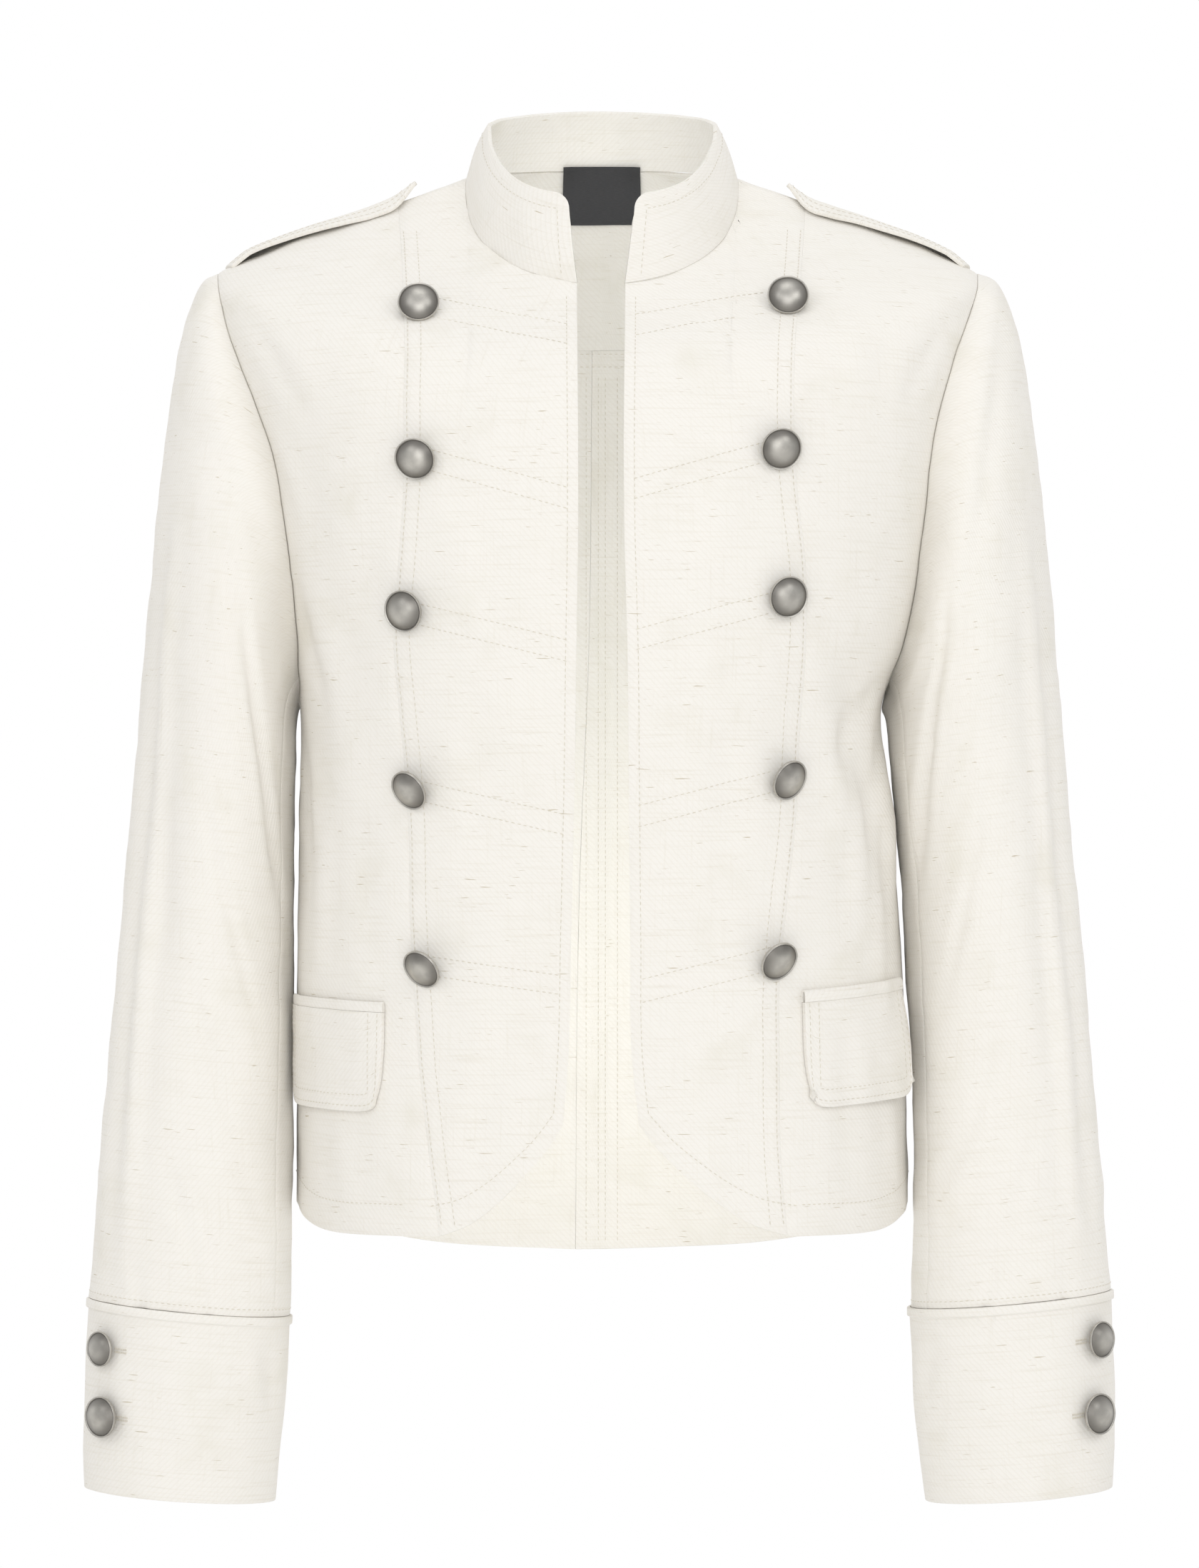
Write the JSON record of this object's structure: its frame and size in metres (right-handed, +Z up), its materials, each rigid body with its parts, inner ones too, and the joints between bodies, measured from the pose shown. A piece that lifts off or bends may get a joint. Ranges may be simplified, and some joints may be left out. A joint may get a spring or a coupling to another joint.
{
  "type": "cropped jacket, filled out with no wearer",
  "caption": "Cropped linen twill jacket with stand collar, princess seams, epaulettes, flap pockets and metal shank buttons, held open-fronted as if worn.",
  "frame": {"origin": "midway between the two points where the neck meets the shoulder seams, where the wearer's shoulders hold the jacket up", "axes": "+X to the wearer's left, -Y to the front, +Z up"},
  "size_m": [0.5017, 0.2391, 0.6849],
  "materials": {
    "back_left": "matte slubbed linen twill",
    "back_right": "matte slubbed linen twill",
    "back_yoke": "matte slubbed linen twill",
    "button_cuff_left_1": "antique silver, satin",
    "button_cuff_left_2": "antique silver, satin",
    "button_cuff_right_1": "antique silver, satin",
    "button_cuff_right_2": "antique silver, satin",
    "button_front_left_1": "antique silver, satin",
    "button_front_left_2": "antique silver, satin",
    "button_front_left_3": "antique silver, satin",
    "button_front_left_4": "antique silver, satin",
    "button_front_left_5": "antique silver, satin",
    "button_front_right_1": "antique silver, satin",
    "button_front_right_2": "antique silver, satin",
    "button_front_right_3": "antique silver, satin",
    "button_front_right_4": "antique silver, satin",
    "button_front_right_5": "antique silver, satin",
    "collar": "matte slubbed linen twill",
    "cuff_left": "matte slubbed linen twill",
    "cuff_right": "matte slubbed linen twill",
    "epaulette_left": "matte slubbed linen twill",
    "epaulette_right": "matte slubbed linen twill",
    "front_centre_left": "matte slubbed linen twill",
    "front_centre_right": "matte slubbed linen twill",
    "front_side_left": "matte slubbed linen twill",
    "front_side_right": "matte slubbed linen twill",
    "neck_label": "woven satin",
    "pocket_flap_left": "matte slubbed linen twill",
    "pocket_flap_right": "matte slubbed linen twill",
    "pocket_welt_left": "matte slubbed linen twill",
    "pocket_welt_right": "matte slubbed linen twill",
    "sleeve_under_left": "matte slubbed linen twill",
    "sleeve_under_right": "matte slubbed linen twill",
    "sleeve_upper_left": "matte slubbed linen twill",
    "sleeve_upper_right": "matte slubbed linen twill"
  },
  "bodies": {
    "root": {"back_left": "back_left", "back_right": "back_right", "back_yoke": "back_yoke", "button_cuff_left_1": "button_cuff_left_1", "button_cuff_left_2": "button_cuff_left_2", "button_cuff_right_1": "button_cuff_right_1", "button_cuff_right_2": "button_cuff_right_2", "button_front_left_1": "button_front_left_1", "button_front_left_2": "button_front_left_2", "button_front_left_3": "button_front_left_3", "button_front_left_4": "button_front_left_4", "button_front_left_5": "button_front_left_5", "button_front_right_1": "button_front_right_1", "button_front_right_2": "button_front_right_2", "button_front_right_3": "button_front_right_3", "button_front_right_4": "button_front_right_4", "button_front_right_5": "button_front_right_5", "collar": "collar", "cuff_left": "cuff_left", "cuff_right": "cuff_right", "epaulette_left": "epaulette_left", "epaulette_right": "epaulette_right", "front_centre_left": "front_centre_left", "front_centre_right": "front_centre_right", "front_side_left": "front_side_left", "front_side_right": "front_side_right", "neck_label": "neck_label", "pocket_flap_left": "pocket_flap_left", "pocket_flap_right": "pocket_flap_right", "pocket_welt_left": "pocket_welt_left", "pocket_welt_right": "pocket_welt_right", "sleeve_under_left": "sleeve_under_left", "sleeve_under_right": "sleeve_under_right", "sleeve_upper_left": "sleeve_upper_left", "sleeve_upper_right": "sleeve_upper_right"}
  },
  "joints": []
}
